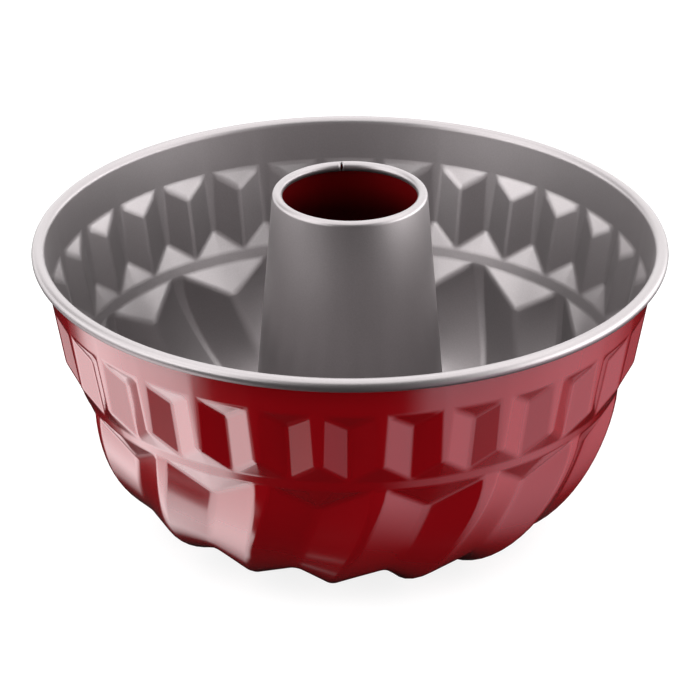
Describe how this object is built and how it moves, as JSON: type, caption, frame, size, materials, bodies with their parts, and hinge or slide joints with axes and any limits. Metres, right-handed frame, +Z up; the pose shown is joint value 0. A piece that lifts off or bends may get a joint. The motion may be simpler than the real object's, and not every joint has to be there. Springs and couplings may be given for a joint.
{
  "type": "cake pan",
  "caption": "Fluted ring cake pan: deep drawn steel bowl with a pleated upper tier, swirled lower lobes, a rolled rim and an open tapered centre tube, for baking ring cakes.",
  "frame": {"origin": "on the tin's axis, at the level of the flats that the lobes stand on", "axes": "+Z up along the tin's axis, -Y toward the camera of the picture, +X to the right in the picture"},
  "size_m": [0.2498, 0.25, 0.1385],
  "materials": {
    "red_lacquered_steel": "gloss",
    "grey_nonstick_steel": "satin",
    "steel_wire": "satin"
  },
  "bodies": {
    "root": {"pan_body": "red_lacquered_steel", "centre_tube": "grey_nonstick_steel", "rim_wire": "steel_wire"}
  },
  "joints": []
}
